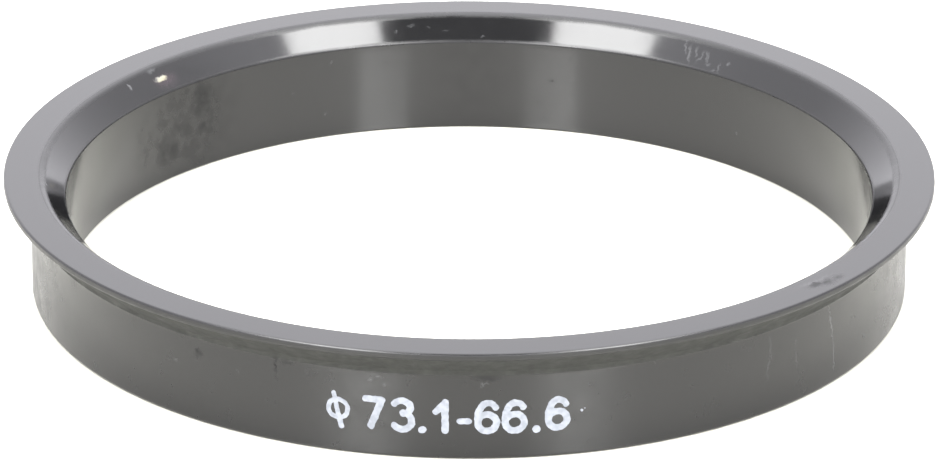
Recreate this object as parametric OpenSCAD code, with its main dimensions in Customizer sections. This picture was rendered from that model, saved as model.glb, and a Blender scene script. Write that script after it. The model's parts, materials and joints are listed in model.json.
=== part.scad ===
// Hub centric ring: a moulded plastic ring that fills the gap between a wheel's centre bore
// and a smaller hub. It stands on its small end, with the lip on top. Its section is the
// same all the way round, so it is one outline turned about Z. The origin is the centre of
// the small end.

/* [Fit] */
// Diameter of the wheel's centre bore, which the wall fits into
wheel_bore_d = 73.1; // [54:0.1:110]
// How much smaller the wall is than that bore, so that it slides in
wheel_play = 0.1; // [0:0.05:0.4]
// Thickness of the wall, which leaves a bore of 66.8 for the hub's 66.6 spigot
wall_t = 3.1; // [2.8:0.05:9]
// Height from the small end to the lip's face
ring_h = 10; // [7:0.1:20]

/* [Lip] */
// How far the lip stands out past the wall
lip_overhang = 2.2; // [1:0.1:4]
// Height of the upright band round the lip, above its cone
lip_band_h = 0.5; // [0.45:0.05:1]
// Slope of the cone under the lip, measured from the axis, to suit the wheel's chamfer
seat_angle = 48; // [35:1:55]
// Rounding of the lip's upper edge
lip_edge_r = 0.2; // [0:0.05:0.35]
// Rounding where the band turns into the cone
band_foot_r = 0.3; // [0:0.05:0.4]
// Fillet where the cone runs into the wall
seat_fillet_r = 1.1; // [0:0.1:1.3]

/* [Lead-in for the hub] */
// Width of the chamfer inside the lip, measured across the ring
lead_in_w = 2.1; // [1:0.1:2.6]
// Slope of that chamfer, measured from the axis
lead_in_angle = 45; // [30:1:60]
// Rounding between the lip's face and the chamfer
lead_mouth_r = 0.8; // [0:0.05:1]
// Rounding between the chamfer and the bore
lead_foot_r = 0.3; // [0:0.1:1.5]

/* [Small end] */
// Rounding of its outer edge, which starts the ring in the wheel
outer_edge_r = 0.3; // [0:0.05:0.8]
// Rounding of its inner edge
inner_edge_r = 0.2; // [0:0.05:0.8]

/* [Hidden] */
$fn = 240;

// Each rounding is drawn in steps of about this many degrees
arc_step = 7.5;

// Radii of the upright surfaces
wall_r = (wheel_bore_d - wheel_play) / 2;
bore_r = wall_r - wall_t;
lip_r = wall_r + lip_overhang;
mouth_r = bore_r + lead_in_w;

// Heights of the corners below the lip's face
band_foot_z = ring_h - lip_band_h;
seat_foot_z = band_foot_z - lip_overhang / tan(seat_angle);
lead_foot_z = ring_h - lead_in_w / tan(lead_in_angle);

// Corners of the section, anticlockwise from the bore's lower edge: radius, height, rounding
section = [
    [bore_r, 0, inner_edge_r],
    [wall_r, 0, outer_edge_r],
    [wall_r, seat_foot_z, seat_fillet_r],
    [lip_r, band_foot_z, band_foot_r],
    [lip_r, ring_h, lip_edge_r],
    [mouth_r, ring_h, lead_mouth_r],
    [bore_r, lead_foot_z, lead_foot_r],
];

function unit(v) = v / norm(v);

// An angle brought between -180 and 180 degrees
function wrapped(a) = a > 180 ? a - 360 : a < -180 ? a + 360 : a;

// The corner p between a and b, as an arc of radius r that both sides run into smoothly.
// Its centre lies on the line that halves the corner.
function rounded_corner(a, p, b, r) =
    let (
        to_a = unit(a - p),
        to_b = unit(b - p),
        half = acos(to_a * to_b) / 2,
        centre = p + unit(to_a + to_b) * r / sin(half),
        first = p + to_a * r / tan(half) - centre,
        last = p + to_b * r / tan(half) - centre,
        start = atan2(first.y, first.x),
        turn = wrapped(atan2(last.y, last.x) - start),
        steps = ceil(abs(turn) / arc_step)
    )
    [for (i = [0 : steps]) centre + r * [cos(start + turn * i / steps), sin(start + turn * i / steps)]];

// The closed outline through all the corners, each with its own rounding
function rounded_outline(corners) =
    let (count = len(corners), at = [for (c = corners) [c[0], c[1]]])
    [for (i = [0 : count - 1])
        each corners[i][2] > 0
            ? rounded_corner(at[(i + count - 1) % count], at[i], at[(i + 1) % count], corners[i][2])
            : [at[i]]];

// The whole ring, moulded in one piece: wall, lip with its conical seat, and lead-in
module hub_ring() {
    color("#3b3b3d")
        rotate_extrude()
            polygon(rounded_outline(section));
}

hub_ring();
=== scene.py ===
import json
import math

import bpy
import numpy as np
from mathutils import Matrix, Vector


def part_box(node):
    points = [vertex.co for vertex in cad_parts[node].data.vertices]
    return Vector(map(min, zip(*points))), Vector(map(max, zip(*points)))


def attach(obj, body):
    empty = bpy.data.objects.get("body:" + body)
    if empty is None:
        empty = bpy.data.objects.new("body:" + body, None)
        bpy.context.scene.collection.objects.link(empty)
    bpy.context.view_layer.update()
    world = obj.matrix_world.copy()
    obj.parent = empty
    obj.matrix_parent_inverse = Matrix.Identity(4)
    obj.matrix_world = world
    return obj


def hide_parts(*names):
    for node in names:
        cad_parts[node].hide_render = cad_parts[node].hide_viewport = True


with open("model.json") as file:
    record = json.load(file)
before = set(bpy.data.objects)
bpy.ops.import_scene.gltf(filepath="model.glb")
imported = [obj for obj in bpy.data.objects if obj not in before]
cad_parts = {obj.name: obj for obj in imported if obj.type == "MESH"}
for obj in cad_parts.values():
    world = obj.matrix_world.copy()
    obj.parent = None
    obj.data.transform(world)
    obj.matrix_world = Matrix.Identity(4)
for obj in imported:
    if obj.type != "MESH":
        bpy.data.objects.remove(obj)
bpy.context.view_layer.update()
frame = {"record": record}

# The viewpoint: a long lens about half a metre away, which looks down on the
# ring by about 23 degrees. The view is aimed just under the lip, so the ring fills it.
MM = 0.001
PHOTO_W = 942
CAMERA_FAR = 529.0
CAMERA_PIXELS = 6353.9
CAMERA_DOWN = math.radians(22.901)
CAMERA_ROLL = math.radians(0.207)
AIM_RIGHT = 0.168
AIM_UP = -5.530
ring_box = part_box("hub_ring")
ring_h = ring_box[1].z / MM

back = Vector((0, -math.cos(CAMERA_DOWN), math.sin(CAMERA_DOWN)))
level = Vector((1, 0, 0))
upright = back.cross(level)
right = level * math.cos(CAMERA_ROLL) + upright * math.sin(CAMERA_ROLL)
up = upright * math.cos(CAMERA_ROLL) - level * math.sin(CAMERA_ROLL)
place = Vector((0, 0, ring_h)) + level * AIM_RIGHT + upright * AIM_UP + back * CAMERA_FAR
lens = bpy.data.cameras.new("camera")
lens.sensor_fit = "HORIZONTAL"
lens.sensor_width = 36
lens.lens = CAMERA_PIXELS / PHOTO_W * lens.sensor_width
lens.clip_start = 0.01
lens.clip_end = 100
camera = bpy.data.objects.new("camera", lens)
turned = Matrix((right, up, back)).transposed().to_4x4()
camera.matrix_world = Matrix.Translation(place * MM) @ turned
bpy.context.scene.collection.objects.link(camera)
bpy.context.scene.camera = camera

# The ring: one injection moulding in black ABS. Its section is the same all the way round:
# a thin wall, a lip with a conical seat under it and a flat face on top, and a polished
# chamfer that leads the hub into the bore.
mounts = {m["name"]: m for m in frame["record"]["mounts"]}
wall_r = mounts["wheel_spigot"]["dims"]["r_mm"]
bore_r = mounts["hub_bore"]["dims"]["r_mm"]
lip_r = ring_box[1].x / MM
LIP_BAND_H = 0.5
LEAD_IN_W = 2.1
BORE_DRAFT = 0.15
LIP_EDGE_R = 0.2
MOUTH_R = 0.8
LEAD_FOOT_R = 0.3
SEAT_SLOPE = 48
LEAD_IN_SLOPE = 45
mouth_r = bore_r + LEAD_IN_W
seat_foot_z = ring_h - LIP_BAND_H - (lip_r - wall_r) / math.tan(math.radians(SEAT_SLOPE))
lead_foot_z = ring_h - (LEAD_IN_W - BORE_DRAFT) / math.tan(math.radians(LEAD_IN_SLOPE))
# Corners of the section, anticlockwise: radius, height and rounding. The bore widens a
# little towards the chamfer, so that the moulding comes off its core.
SECTION = [
    (bore_r, 0, 0.2),
    (wall_r, 0, 0.3),
    (wall_r, seat_foot_z, 1.1),
    (lip_r, ring_h - LIP_BAND_H, 0.3),
    (lip_r, ring_h, LIP_EDGE_R),
    (mouth_r, ring_h, MOUTH_R),
    (bore_r + BORE_DRAFT, lead_foot_z, LEAD_FOOT_R),
]
STEPS_ROUND = 480
STEPS_STRAIGHT = 12
ROUNDING_STEP = math.radians(4)
# How rough the steel tool left each surface, and how far the band and the cone reach into
# the roundings below them
FINISH = {"edges": 0.28, "polished": 0.1, "bore": 0.13, "band": 0.4, "cone": 0.8, "wall": 0.23}
BAND_REACH = 0.1
CONE_REACH = 0.4
# The ring's middle is about this long all the way round, and a UV unit is this long across it
ROUND_MM = 220
UV_MM = 100


def rounded(corners):
    """The closed outline through the corners. Each corner is an arc that touches both of its
    sides: its centre is on the line that halves the corner, at rounding / sin(half angle).
    Each straight side between two arcs is cut into equal steps."""
    arcs = []
    at = [np.array(c[:2]) for c in corners]
    for i, (_, _, rounding) in enumerate(corners):
        to_a = at[i - 1] - at[i]
        to_b = at[(i + 1) % len(at)] - at[i]
        to_a, to_b = to_a / np.linalg.norm(to_a), to_b / np.linalg.norm(to_b)
        half = math.acos(to_a @ to_b) / 2
        middle = (to_a + to_b) / np.linalg.norm(to_a + to_b)
        centre = at[i] + middle * rounding / math.sin(half)
        first = at[i] + to_a * rounding / math.tan(half) - centre
        start = math.atan2(first[1], first[0])
        turn = math.pi - 2 * half
        if to_a[0] * to_b[1] - to_a[1] * to_b[0] > 0:
            turn = -turn
        steps = math.ceil(abs(turn) / ROUNDING_STEP)
        angle = start + turn * np.arange(steps + 1) / steps
        arcs.append(centre + rounding * np.stack([np.cos(angle), np.sin(angle)], 1))
    outline = []
    for arc, following in zip(arcs, arcs[1:] + arcs[:1]):
        share = np.arange(1, STEPS_STRAIGHT)[:, None] / STEPS_STRAIGHT
        outline += [arc, arc[-1] * (1 - share) + following[0] * share]
    return np.concatenate(outline)


def turned_solid(name, outline, steps):
    """A surface with two parameters: the place along the closed outline and the angle about Z.
    Each point is (radius cos angle, radius sin angle, height). The UV map holds the angle as a
    share of a turn, and the distance along the outline in UV units. The attribute "finish"
    holds how rough the tool left each surface: the lip's face and the chamfer are polished,
    the bore a little less, then the wall, the roundings beside the chamfer and the band round
    the lip, and the cone under the lip least."""
    angle = np.arange(steps) * 2 * np.pi / steps
    radius, height = outline[:, :1], outline[:, 1:]
    points = np.stack([radius * np.cos(angle), radius * np.sin(angle), height + 0 * angle], 2)
    count = len(outline)
    k, j = np.meshgrid(np.arange(count), np.arange(steps), indexing="ij")
    corners_k = np.stack([k, k, k + 1, k + 1], 2)
    corners_j = np.stack([j, j + 1, j + 1, j], 2)
    faces = (corners_k % count) * steps + corners_j % steps
    mesh = bpy.data.meshes.new(name)
    mesh.from_pydata((points.reshape(-1, 3) * MM).tolist(), [], faces.reshape(-1, 4).tolist())
    closed = np.concatenate([outline, outline[:1]])
    along = np.concatenate([[0], np.cumsum(np.linalg.norm(np.diff(closed, axis=0), axis=1))])
    uv = np.stack([corners_j / steps, along[corners_k] / UV_MM], 3)
    layer = mesh.uv_layers.new(name="section")
    layer.data.foreach_set("uv", uv.astype(np.float32).ravel())
    r, z = outline[:, 0], outline[:, 1]
    mouth_reach = MOUTH_R * math.tan(math.radians(LEAD_IN_SLOPE / 2)) + 0.01
    bore = r < (bore_r + wall_r) / 2
    chamfer = (z > lead_foot_z) & (r < wall_r)
    polished = chamfer | ((z > ring_h - 0.01) & (r < lip_r - LIP_EDGE_R))
    mouth = np.hypot(r - mouth_r, z - ring_h) < mouth_reach
    edges = mouth | (bore & (np.abs(z - lead_foot_z) < 0.4 * LEAD_FOOT_R))
    upright = (r > lip_r - LIP_EDGE_R) & (z < ring_h - LIP_EDGE_R / 2)
    band = upright & (z > ring_h - LIP_BAND_H - BAND_REACH)
    cone = (z > seat_foot_z - CONE_REACH) & (r > wall_r + 0.02) & (z < ring_h - LIP_EDGE_R)
    where = {"edges": edges, "polished": polished, "bore": bore, "band": band, "cone": cone}
    rough = np.select(list(where.values()), [FINISH[place] for place in where], FINISH["wall"])
    finish = mesh.attributes.new("finish", "FLOAT", "POINT")
    finish.data.foreach_set("value", np.repeat(rough, steps).astype(np.float32))
    mesh.polygons.foreach_set("use_smooth", np.ones(len(mesh.polygons), bool))
    mesh.update()
    piece = bpy.data.objects.new(name, mesh)
    bpy.context.scene.collection.objects.link(piece)
    return piece


def linear(hex_colour):
    """An sRGB hex colour as the linear values that the shaders take."""
    parts = [int(hex_colour[i : i + 2], 16) / 255 for i in (1, 3, 5)]
    return [c / 12.92 if c <= 0.04045 else ((c + 0.055) / 1.055) ** 2.4 for c in parts] + [1.0]


def add(tree, kind, settings={}, inputs={}):
    """Adds one node. Settings are its own properties; inputs are values, or outputs to link."""
    made = tree.nodes.new(kind)
    for key, value in settings.items():
        setattr(made, key, value)
    for key, value in inputs.items():
        if isinstance(value, bpy.types.NodeSocket):
            tree.links.new(value, made.inputs[key])
        else:
            made.inputs[key].default_value = value
    return made


def blank_material(name):
    """An empty node material with its output, ready for a surface."""
    material = bpy.data.materials.new(name)
    material.use_nodes = True
    material.node_tree.nodes.clear()
    return material, material.node_tree, material.node_tree.nodes.new("ShaderNodeOutputMaterial")


def object_mm(tree):
    """The place on the piece in millimetres, so that a pattern keeps its real size."""
    place = add(tree, "ShaderNodeTexCoord")
    in_mm = add(tree, "ShaderNodeMapping", {}, {
        "Vector": place.outputs["Object"], "Scale": (1000, 1000, 1000)})
    return in_mm.outputs["Vector"]


ring = turned_solid("hub_ring_moulding", rounded(SECTION), STEPS_ROUND)

# Black ABS, moulded against a polished steel tool: nearly no colour of its own, so the eye
# sees mostly the studio in it.
moulded_abs, tree, out = blank_material("moulded_black_abs")
finish = add(tree, "ShaderNodeAttribute", {"attribute_name": "finish"})
# Millimetres round the ring and along its section, pushed about a little so that no mark
# keeps an even edge
section = add(tree, "ShaderNodeUVMap", {"uv_map": "section"})
flat_mm = add(tree, "ShaderNodeMapping", {}, {
    "Vector": section.outputs["UV"], "Scale": (ROUND_MM, UV_MM, 1)})
in_mm = object_mm(tree)
wobble = add(tree, "ShaderNodeTexNoise", {}, {"Vector": in_mm, "Scale": 1.9, "Detail": 3})
centred = add(tree, "ShaderNodeVectorMath", {"operation": "SUBTRACT"}, {
    0: wobble.outputs["Color"], 1: (0.5, 0.5, 0.5)})
pushed = add(tree, "ShaderNodeVectorMath", {"operation": "MULTIPLY_ADD"}, {
    0: centred.outputs["Vector"], 1: (0.9, 0.9, 0), 2: flat_mm.outputs["Vector"]})


def patches(tree, places):
    """A mask of soft-edged ovals, the strongest at each point. Each place holds the degrees
    round the ring, the millimetres along the section, the oval's half length and half width
    in millimetres, how far its length turns away from the ring's own way round, how soft its
    edge is and how strong it is."""
    most = None
    for round_at, along_at, long, wide, lean, soft, strength in places:
        at = (round_at / 360 * ROUND_MM, along_at, 0)
        oval = add(tree, "ShaderNodeMapping", {"vector_type": "TEXTURE"}, {
            "Vector": pushed.outputs["Vector"], "Location": at,
            "Rotation": (0, 0, math.radians(lean)), "Scale": (long, wide, 1)})
        reach = add(tree, "ShaderNodeVectorMath", {"operation": "LENGTH"}, {0: oval.outputs["Vector"]})
        here = add(tree, "ShaderNodeMapRange", {"interpolation_type": "SMOOTHSTEP"}, {
            "Value": reach.outputs["Value"], "From Min": 1 - soft, "From Max": 1 + soft,
            "To Min": strength, "To Max": 0})
        if most is None:
            most = here.outputs["Result"]
        else:
            stronger = add(tree, "ShaderNodeMath", {"operation": "MAXIMUM"}, {
                0: most, 1: here.outputs["Result"]})
            most = stronger.outputs[0]
    return most


# Pale marks: a chip on the chamfer, back left, that shows the plastic's inside, scuffs on the
# chamfer, back right, scratches on the wall, right, and specks of dust
PALE = [
    (140.6, 18.4, 0.62, 0.24, 0, 0.5, 1.0),
    (146.9, 17.9, 0.12, 0.2, 0, 0.7, 0.3),
    (141.4, 17.5, 0.4, 0.14, 0, 0.8, 0.16),
    (57.0, 18.1, 0.1, 0.5, 25, 0.8, 0.14), (56.0, 18.6, 0.12, 0.7, 14, 0.8, 0.15),
    (55.1, 18.3, 0.1, 0.45, 20, 0.8, 0.12), (54.0, 18.6, 0.1, 0.6, -20, 0.8, 0.12),
    (53.0, 18.5, 0.1, 0.5, 20, 0.8, 0.11), (52.3, 19.1, 0.25, 0.14, -20, 0.8, 0.12),
    (50.4, 19.2, 0.1, 0.4, 14, 0.8, 0.12), (49.2, 18.5, 0.14, 0.14, 0, 0.8, 0.15),
    (51.3, 19.5, 0.2, 0.08, 30, 0.8, 0.1),
    (88.1, 19.3, 0.14, 0.12, 0, 0.7, 0.12), (93.6, 18.7, 0.2, 0.1, 0, 0.8, 0.07),
    (98.6, 18.2, 0.22, 0.12, 0, 0.8, 0.07), (96.2, 18.4, 0.16, 0.1, 0, 0.8, 0.06),
    (101.0, 18.7, 0.14, 0.1, 0, 0.8, 0.07),
    (111.2, 20.9, 0.14, 0.14, 0, 0.8, 0.08), (117.5, 23.2, 0.16, 0.14, 0, 0.8, 0.07),
    (112.4, 25.6, 0.14, 0.14, 0, 0.8, 0.07), (46.0, 24.6, 0.1, 0.1, 0, 0.6, 0.14),
    (185.7, 17.5, 0.16, 0.12, 0, 0.6, 0.5),
    (345.1, 14.5, 0.12, 0.1, 0, 0.6, 0.12), (318.6, 16.0, 1.5, 0.08, -5, 0.8, 0.12),
    (322.9, 8.5, 0.07, 1.5, 13, 0.8, 0.2), (323.7, 5.7, 0.07, 1.2, 5, 0.8, 0.18),
    (311.2, 8.7, 0.08, 1.0, 8, 0.8, 0.07), (310.8, 7.1, 0.08, 0.9, -6, 0.8, 0.08),
    (315.9, 7.6, 0.07, 1.6, 2, 0.8, 0.06),
    (257.7, 9.6, 0.2, 0.16, 20, 0.8, 0.13), (258.9, 9.9, 0.24, 0.14, -15, 0.8, 0.12),
    (259.7, 9.2, 0.14, 0.2, -15, 0.8, 0.12), (272.0, 9.5, 0.26, 0.08, 0, 0.8, 0.12),
    (337.4, 5.8, 0.25, 0.22, 0, 0.8, 0.1), (293.5, 10.2, 0.14, 0.1, 0, 0.8, 0.07),
    (230.5, 7.9, 0.16, 0.1, 10, 0.8, 0.07), (240.1, 8.6, 0.12, 0.08, 0, 0.8, 0.07),
]
# Dull spots and greasy smudges, which take the shine away
DULL = [
    (140.2, 18.6, 1.2, 0.7, 0, 0.7, 0.5), (137.4, 18.8, 2.4, 0.8, 0, 0.9, 0.25),
    (133.6, 19.2, 1.0, 0.4, 0, 0.9, 0.2),
    (137.6, 23.6, 4.6, 3.8, 0, 0.95, 0.45), (133.9, 22.6, 1.5, 2.4, 10, 0.95, 0.7),
    (141.4, 25.0, 2.4, 1.5, -15, 0.95, 0.6), (146.4, 23.8, 1.4, 2.4, 0, 0.95, 0.4),
    (90.0, 23.6, 3.0, 5.0, 0, 0.9, 0.12),
    (103.0, 21.5, 0.2, 0.14, 0, 0.8, 0.25), (104.0, 24.0, 0.22, 0.18, 0, 0.8, 0.25),
    (83.9, 21.9, 0.18, 0.14, 0, 0.8, 0.25), (74.7, 20.9, 0.2, 0.14, 0, 0.8, 0.3),
    (77.6, 23.1, 0.3, 0.16, 0, 0.8, 0.3), (79.4, 25.3, 0.24, 0.16, 0, 0.8, 0.25),
    (78.4, 26.7, 0.22, 0.16, 0, 0.8, 0.25), (56.1, 24.4, 0.2, 0.26, 0, 0.8, 0.25),
    (320.6, 15.1, 1.2, 0.42, 0, 0.9, 0.9), (317.8, 15.5, 0.7, 0.4, 0, 0.9, 0.9),
    (234.1, 9.1, 0.34, 0.3, 0, 0.9, 0.8), (245.4, 9.6, 0.09, 1.0, 4, 0.8, 0.7),
    (247.0, 10.1, 0.5, 0.2, 0, 0.8, 0.3),
    (272.3, 10.2, 0.9, 0.34, 0, 0.8, 0.4), (253.5, 6.3, 0.2, 0.2, 0, 0.8, 0.3),
]
pale = patches(tree, PALE)
dull_patches = patches(tree, DULL)
halo = patches(tree, [(140.0, 18.7, 1.1, 0.6, 0, 0.8, 0.8)])
# A fine dark line all round, where the rounding of the mouth begins: the edge of the insert
# that moulded the polished side
split = add(tree, "ShaderNodeSeparateXYZ", {}, {"Vector": flat_mm.outputs["Vector"]})
from_line = add(tree, "ShaderNodeMath", {"operation": "COMPARE"}, {
    0: split.outputs["Y"], 1: 16.86, 2: 0.05})
line_dull = add(tree, "ShaderNodeMath", {"operation": "MULTIPLY"}, {0: from_line.outputs[0], 1: 0.2})
broken = add(tree, "ShaderNodeTexNoise", {}, {"Vector": in_mm, "Scale": 0.8, "Detail": 4})
share_left = add(tree, "ShaderNodeMapRange", {}, {
    "Value": broken.outputs["Fac"], "From Min": 0.38, "From Max": 0.62, "To Min": 0.35, "To Max": 1})
dull_broken = add(tree, "ShaderNodeMath", {"operation": "MULTIPLY"}, {
    0: dull_patches, 1: share_left.outputs["Result"]})
dull = add(tree, "ShaderNodeMath", {"operation": "MAXIMUM"}, {
    0: dull_broken.outputs[0], 1: line_dull.outputs[0]}).outputs[0]
# Fine mottling of the moulded skin: it shines a little less in some places than in others
cloud = add(tree, "ShaderNodeTexNoise", {}, {
    "Vector": in_mm, "Scale": 0.55, "Detail": 5, "Roughness": 0.62})
uneven = add(tree, "ShaderNodeMapRange", {}, {
    "Value": cloud.outputs["Fac"], "From Min": 0.3, "From Max": 0.7, "To Min": 0.8, "To Max": 1.25})
# The wall is finely rubbed, so it scatters more where it is seen at a glancing angle
on_wall = add(tree, "ShaderNodeMath", {"operation": "COMPARE"}, {
    0: finish.outputs["Fac"], 1: FINISH["wall"], 2: 0.02})
glance = add(tree, "ShaderNodeLayerWeight", {}, {"Blend": 0.5})
rubbed = add(tree, "ShaderNodeMapRange", {}, {
    "Value": glance.outputs["Facing"], "From Min": 0.65, "To Min": 0, "To Max": 0.1})
rubbed_finish = add(tree, "ShaderNodeMath", {"operation": "MULTIPLY_ADD"}, {
    0: on_wall.outputs[0], 1: rubbed.outputs["Result"], 2: finish.outputs["Fac"]})
moulded_roughness = add(tree, "ShaderNodeMath", {"operation": "MULTIPLY"}, {
    0: rubbed_finish.outputs[0], 1: uneven.outputs["Result"]})
worn = add(tree, "ShaderNodeMath", {"operation": "MAXIMUM"}, {0: pale, 1: dull})
roughness = add(tree, "ShaderNodeMix", {}, {
    0: worn.outputs[0], 2: moulded_roughness.outputs[0], 3: 0.75})
# The cone, rough from the tool, is painted a lighter grey in uneven patches: painted light for the lit
# table that it reflects
cone_light_mask = add(tree, "ShaderNodeMapRange", {}, {
    "Value": finish.outputs["Fac"], "From Min": 0.45, "From Max": 0.75})
cone_light_patches = add(tree, "ShaderNodeMapRange", {}, {
    "Value": wobble.outputs["Fac"], "From Min": 0.35, "From Max": 0.65, "To Min": 0.6, "To Max": 1})
painted_cone_light = add(tree, "ShaderNodeMath", {"operation": "MULTIPLY"}, {
    0: cone_light_mask.outputs["Result"], 1: cone_light_patches.outputs["Result"]})
# Black, or the lighter grey of the cone's painted light
black_or_painted_light = add(tree, "ShaderNodeMix", {"data_type": "RGBA"}, {
    0: painted_cone_light.outputs[0], 6: linear("#101011"), 7: linear("#2b2c29")})
black_or_brown = add(tree, "ShaderNodeMix", {"data_type": "RGBA"}, {
    0: halo, 6: black_or_painted_light.outputs[2], 7: linear("#2b2428")})
# Dust is grey, and the broken plastic of the large chip is yellower
dust_or_chip = add(tree, "ShaderNodeMix", {"data_type": "RGBA"}, {
    0: halo, 6: linear("#767779"), 7: linear("#86816a")})
with_pale = add(tree, "ShaderNodeMix", {"data_type": "RGBA"}, {
    0: pale, 6: black_or_brown.outputs[2], 7: dust_or_chip.outputs[2]})
# Spots where dirt lies on the skin reflect nearly nothing
less_shine = add(tree, "ShaderNodeMix", {"data_type": "RGBA"}, {
    0: dull, 6: (1, 1, 1, 1), 7: (0.25, 0.25, 0.25, 1)})
# The skin isn't quite flat: long low waves from shrinkage, and a fine grain
waves = add(tree, "ShaderNodeTexNoise", {}, {"Vector": in_mm, "Scale": 0.16, "Detail": 2})
grain = add(tree, "ShaderNodeTexNoise", {}, {"Vector": in_mm, "Scale": 2.5, "Detail": 1})
low = add(tree, "ShaderNodeBump", {}, {
    "Height": waves.outputs["Fac"], "Strength": 1.0, "Distance": 0.000003})
skin = add(tree, "ShaderNodeBump", {}, {
    "Height": grain.outputs["Fac"], "Normal": low.outputs["Normal"],
    "Strength": 1.0, "Distance": 0.0000001})
surface = add(tree, "ShaderNodeBsdfPrincipled", {}, {
    "Base Color": with_pale.outputs[2],
    "Roughness": roughness.outputs[0],
    "Specular Tint": less_shine.outputs[2],
    "IOR": 1.5,
    "Normal": skin.outputs["Normal"],
})
tree.links.new(surface.outputs["BSDF"], out.inputs["Surface"])
ring.data.materials.append(moulded_abs)
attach(ring, "root")
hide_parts("hub_ring")

# The size mark: the diameters that the ring fits, printed with a soft pad in white ink on
# the wall. The ink is thin, so the black under it shows through, and its edges are ragged.
STROKE = 0.57
PRINT_Z = 2.18
INK_PROUD = 0.015
INK_STEP = 0.045
NEAR_EDGE = 0.6 * INK_STEP
WHEEL_PLAY = 0.1
SPIGOT_PLAY = 0.2


def arc(centre_s, centre_z, wide, high, start, end):
    """Points along an ellipse, from one angle to the other in degrees."""
    angle = np.radians(np.linspace(start, end, 25))
    return np.stack([centre_s + wide * np.cos(angle), centre_z + high * np.sin(angle)], 1)


# Each figure is a few strokes of the pen's middle line, in millimetres from its lower left
# corner. A stroke can have a width of its own.
FIGURES = {
    "7": [([(0.3, 2.62), (1.62, 2.6)], 0.56), ([(1.6, 2.6), (0.72, 0.3)], 0.58)],
    "3": [
        (arc(0.95, 2.16, 0.68, 0.55, 150, -80), STROKE),
        (arc(0.97, 0.98, 0.74, 0.72, 85, -145), STROKE),
    ],
    "1": [([(0.28, 1.88), (1.02, 2.72)], 0.52), ([(1.02, 2.72), (1.02, 0.28)], STROKE)],
    "6": [
        (arc(1.05, 0.98, 0.74, 0.71, 0, 360), 0.57),
        (arc(1.1, 1.3, 0.79, 1.37, 180, 90), 0.57),
        (arc(1.1, 2.06, 0.65, 0.61, 90, 20), 0.53),
    ],
    ".": [([(0.32, 0.31), (0.33, 0.31)], 0.64)],
    "-": [([(0.28, 1.12), (0.98, 1.14)], 0.5)],
    "diameter": [
        (arc(0.98, 1.57, 0.8, 0.78, 0, 360), 0.38),
        ([(0.62, 2.86), (1.2, 0.12)], 0.38),
        ([(1.05, 1.0), (1.25, 0.1)], 0.44),
    ],
}
wheel_bore_d = 2 * wall_r + WHEEL_PLAY
spigot_d = 2 * bore_r - SPIGOT_PLAY
size_text = ["diameter"] + list("%.1f-%.1f" % (wheel_bore_d, spigot_d))
# Where the pad set each figure down: the distance round the wall from the middle of the
# front, and how far it sits above the line of print
FIGURES_AT = [
    (-11.34, 0.0), (-8.42, 0.06), (-6.16, 0.0), (-3.93, 0.0), (-2.83, 0.02),
    (-0.93, 0.0), (0.44, 0.02), (2.61, 0.0), (5.05, 0.0), (6.02, 0.06),
]
# Drops of ink that fell beside the figures: place round the wall, height and radius
INK_DROPS = [(9.01, 3.83, 0.13), (9.25, 3.98, 0.05), (-4.28, 2.95, 0.12)]


def distance_to(points, s, z):
    """Shortest distance from each place to a line of points: to each of its pieces, the
    distance to the nearest point of that piece, and then the least of them."""
    points = np.asarray(points, float)
    a, b = points[:-1, :, None, None], points[1:, :, None, None]
    along = b - a
    to_place = np.stack([s, z])[None] - a
    share = (to_place * along).sum(1) / (along**2).sum(1)
    gap = to_place - along * np.clip(share, 0, 1)[:, None]
    return np.sqrt((gap**2).sum(1)).min(0)


s = np.arange(-11.9, 9.6, INK_STEP)
z = np.arange(PRINT_Z - 0.3, PRINT_Z + 3.5, INK_STEP)
s, z = np.meshgrid(s, z, indexing="ij")
# Raggedness of the ink's edge: a few crossing waves, which push it in and out
ragged = 0.012 * (
    np.sin(7.1 * s + 3.3 * z) + np.sin(-5.3 * s + 8.9 * z + 1.7) + np.sin(13.7 * s + 11.9 * z + 0.6) * 0.7
)
ink = np.full(s.shape, 9.0)
for figure, (start_s, lift) in zip(size_text, FIGURES_AT):
    for line, width in FIGURES[figure]:
        line = np.asarray(line, float) + (start_s, PRINT_Z + lift)
        ink = np.minimum(ink, distance_to(line, s, z) - width / 2)
for drop_s, drop_z, drop_r in INK_DROPS:
    ink = np.minimum(ink, np.hypot(s - drop_s, z - drop_z) - drop_r)
ink = ink + ragged
# The cells that hold ink are kept, and their outer points are drawn to the ink's true edge
# along the steepest way
inked = ink < NEAR_EDGE
cells = inked[:-1, :-1] & inked[1:, :-1] & inked[1:, 1:] & inked[:-1, 1:]
steep_s, steep_z = np.gradient(ink, INK_STEP)
steep = np.maximum(np.hypot(steep_s, steep_z), 0.3)
pull = np.where(ink > -NEAR_EDGE, ink / steep**2, 0)
s, z = s - pull * steep_s, z - pull * steep_z
i, j = np.nonzero(cells)
number = np.arange(s.size).reshape(s.shape)
corners = np.stack([number[i, j], number[i + 1, j], number[i + 1, j + 1], number[i, j + 1]], 1)
used, corners = np.unique(corners, return_inverse=True)
round_wall = s.ravel()[used] / wall_r
ink_r = wall_r + INK_PROUD
points = np.stack([ink_r * np.sin(round_wall), -ink_r * np.cos(round_wall), z.ravel()[used]], 1)
print_mesh = bpy.data.meshes.new("size_print")
print_mesh.from_pydata((points * MM).tolist(), [], corners.reshape(-1, 4).tolist())
size_print = bpy.data.objects.new("size_print", print_mesh)
bpy.context.scene.collection.objects.link(size_print)
thickness = size_print.modifiers.new("ink", "SOLIDIFY")
thickness.thickness = 2 * INK_PROUD * MM
thickness.offset = -1

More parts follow.
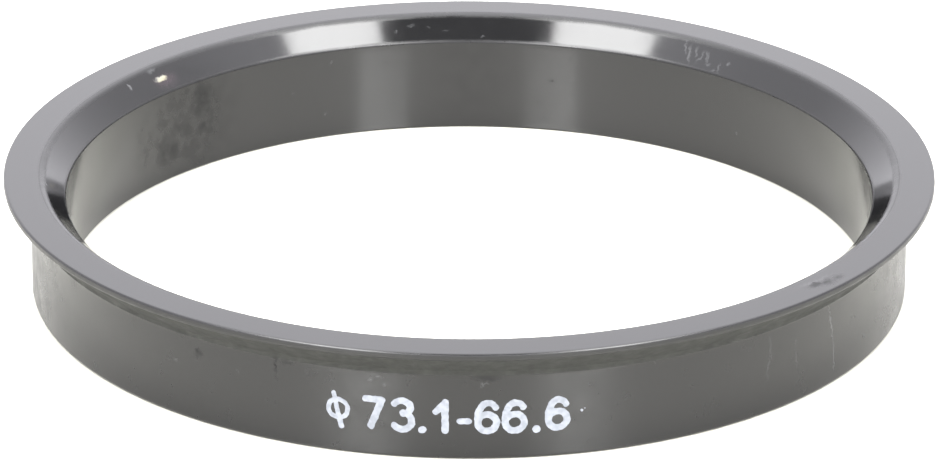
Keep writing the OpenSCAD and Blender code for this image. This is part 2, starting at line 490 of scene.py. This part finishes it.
# White pad-printing ink over black plastic: a cool light grey, duller than the moulding, and
# darker where the pad left it thin
ink_white, tree, out = blank_material("white_pad_ink")
cover = add(tree, "ShaderNodeTexNoise", {}, {"Vector": object_mm(tree), "Scale": 2.2, "Detail": 4})
thin_or_full = add(tree, "ShaderNodeMapRange", {}, {
    "Value": cover.outputs["Fac"], "From Min": 0.35, "From Max": 0.6})
ink_colour = add(tree, "ShaderNodeMix", {"data_type": "RGBA"}, {
    0: thin_or_full.outputs["Result"], 6: linear("#73777f"), 7: linear("#868a91")})
ink_roughness = add(tree, "ShaderNodeMapRange", {}, {
    "Value": cover.outputs["Fac"], "From Min": 0.3, "From Max": 0.7, "To Min": 0.38, "To Max": 0.52})
ink_skin = add(tree, "ShaderNodeBump", {}, {
    "Height": cover.outputs["Fac"], "Strength": 1.0, "Distance": 0.000004})
surface = add(tree, "ShaderNodeBsdfPrincipled", {}, {
    "Base Color": ink_colour.outputs[2],
    "Roughness": ink_roughness.outputs["Result"],
    "IOR": 1.5,
    "Normal": ink_skin.outputs["Normal"],
})
tree.links.new(surface.outputs["BSDF"], out.inputs["Surface"])
print_mesh.materials.append(ink_white)
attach(size_print, "root")

# The stage: a glossy white table under the ring, and a pale studio round it with two tall
# softboxes, left and right of the camera, that lean over the ring.
TABLE_HALF = 3.0
table_mesh = bpy.data.meshes.new("table")
table_mesh.from_pydata(
    [(x * TABLE_HALF, y * TABLE_HALF, 0) for x, y in ((-1, -1), (1, -1), (1, 1), (-1, 1))],
    [],
    [(0, 1, 2, 3)],
)
table = bpy.data.objects.new("table", table_mesh)
bpy.context.scene.collection.objects.link(table)
# Cast white acrylic, wiped by hand: a soft white under a clear gloss that mirrors the studio
acrylic, tree, out = blank_material("white_acrylic")
wiped = add(tree, "ShaderNodeTexNoise", {}, {"Vector": object_mm(tree), "Scale": 0.02, "Detail": 3})
acrylic_colour = add(tree, "ShaderNodeMix", {"data_type": "RGBA"}, {
    0: wiped.outputs["Fac"], 6: linear("#c6c5bc"), 7: linear("#cac9c0")})
acrylic_roughness = add(tree, "ShaderNodeMapRange", {}, {
    "Value": wiped.outputs["Fac"], "To Min": 0.45, "To Max": 0.55})
surface = add(tree, "ShaderNodeBsdfPrincipled", {}, {
    "Base Color": acrylic_colour.outputs[2],
    "Roughness": acrylic_roughness.outputs["Result"],
    "IOR": 1.49,
    "Coat Weight": 1.0,
    "Coat Roughness": 0.1,
})
tree.links.new(surface.outputs["BSDF"], out.inputs["Surface"])
table_mesh.materials.append(acrylic)

LIGHTS_FAR = 1.5
LIGHTS_TILT = math.radians(45)


def card(name, corners, brightness):
    """A flat card that faces the ring from the front and above. Its corners are given as
    shares of its distance: how far right, and how far up along its own tilt."""
    towards = Vector((0, -math.cos(LIGHTS_TILT), math.sin(LIGHTS_TILT)))
    along = Vector((0, math.sin(LIGHTS_TILT), math.cos(LIGHTS_TILT)))
    mesh = bpy.data.meshes.new(name)
    mesh.from_pydata(
        [(towards + Vector((x, 0, 0)) + along * u) * LIGHTS_FAR for x, u in corners],
        [],
        [tuple(range(len(corners)))],
    )
    material, tree, out = blank_material(name)
    glow = add(tree, "ShaderNodeEmission", {}, {"Strength": brightness})
    tree.links.new(glow.outputs["Emission"], out.inputs["Surface"])
    mesh.materials.append(material)
    made = bpy.data.objects.new(name, mesh)
    made.visible_camera = False
    bpy.context.scene.collection.objects.link(made)
    return made


card("softbox_right", [(0.33, -0.44), (0.62, -0.44), (0.775, 0.78), (0.32, 0.78)], 19.5)
card("softbox_left", [(-0.30, 0.78), (-0.775, 0.78), (-0.60, -0.44), (-0.30, -0.44)], 19.5)
# Their tops, which reach on over the ring, are dimmer
card("softbox_top_right", [(0.32, 0.78), (0.775, 0.78), (0.92, 2.4), (0.27, 2.4)], 8)
card("softbox_top_left", [(-0.25, 2.4), (-0.90, 2.4), (-0.775, 0.78), (-0.30, 0.78)], 8)
# Between them, where the camera stands, hangs a dark cloth
card("dark_gap", [(-0.30, 0.15), (0.32, 0.15), (0.32, 0.80), (-0.30, 0.80)], 0.4)

# The studio round it: a lit backdrop behind the ring, dimmer walls at the sides and a pale
# ceiling. Each row holds a height (the sine of the angle above the table) and the brightness
# straight behind the ring, half way round to the side, at the side, and in front.
STUDIO = [
    (0.0, (1.9, 2.0, 2.6, 2.8)),
    (0.3, (2.75, 2.0, 2.3, 2.6)),
    (0.5, (2.3, 1.85, 1.8, 1.9)),
    (0.6, (4.0, 2.0, 2.2, 1.8)),
    (0.7, (4.4, 2.2, 2.5, 1.7)),
    (1.0, (4.4, 4.4, 4.4, 4.4)),
]
ROUND_STOPS = (0.0, 0.25, 0.5, 1.0)
world = bpy.data.worlds.new("studio")
world.use_nodes = True
tree = world.node_tree
tree.nodes.clear()
where = add(tree, "ShaderNodeTexCoord")
parts = add(tree, "ShaderNodeSeparateXYZ", {}, {"Vector": where.outputs["Generated"]})
sideways = add(tree, "ShaderNodeMath", {"operation": "ABSOLUTE"}, {0: parts.outputs["X"]})
bearing = add(tree, "ShaderNodeMath", {"operation": "ARCTAN2"}, {
    0: sideways.outputs[0], 1: parts.outputs["Y"]})
share = add(tree, "ShaderNodeMath", {"operation": "DIVIDE"}, {0: bearing.outputs[0], 1: math.pi})
colour = None
below = 0
for height, levels in STUDIO:
    row = add(tree, "ShaderNodeValToRGB", {}, {"Fac": share.outputs[0]})
    while len(row.color_ramp.elements) < len(levels):
        row.color_ramp.elements.new(1)
    for stop, position, level_there in zip(row.color_ramp.elements, ROUND_STOPS, levels):
        stop.position = position
        stop.color = (level_there, level_there * 0.99, level_there * 1.04, 1)
    if colour is None:
        colour = row.outputs["Color"]
    else:
        risen = add(tree, "ShaderNodeMapRange", {}, {
            "Value": parts.outputs["Z"], "From Min": below, "From Max": height})
        mixed = add(tree, "ShaderNodeMix", {"data_type": "RGBA"}, {"Factor": risen.outputs["Result"]})
        tree.links.new(colour, mixed.inputs[6])
        tree.links.new(row.outputs["Color"], mixed.inputs[7])
        colour = mixed.outputs[2]
    below = height
sky = add(tree, "ShaderNodeBackground", {}, {"Color": colour})
add(tree, "ShaderNodeOutputWorld", {}, {"Surface": sky.outputs["Background"]})
bpy.context.scene.world = world
bpy.context.scene.view_settings.view_transform = "Standard"
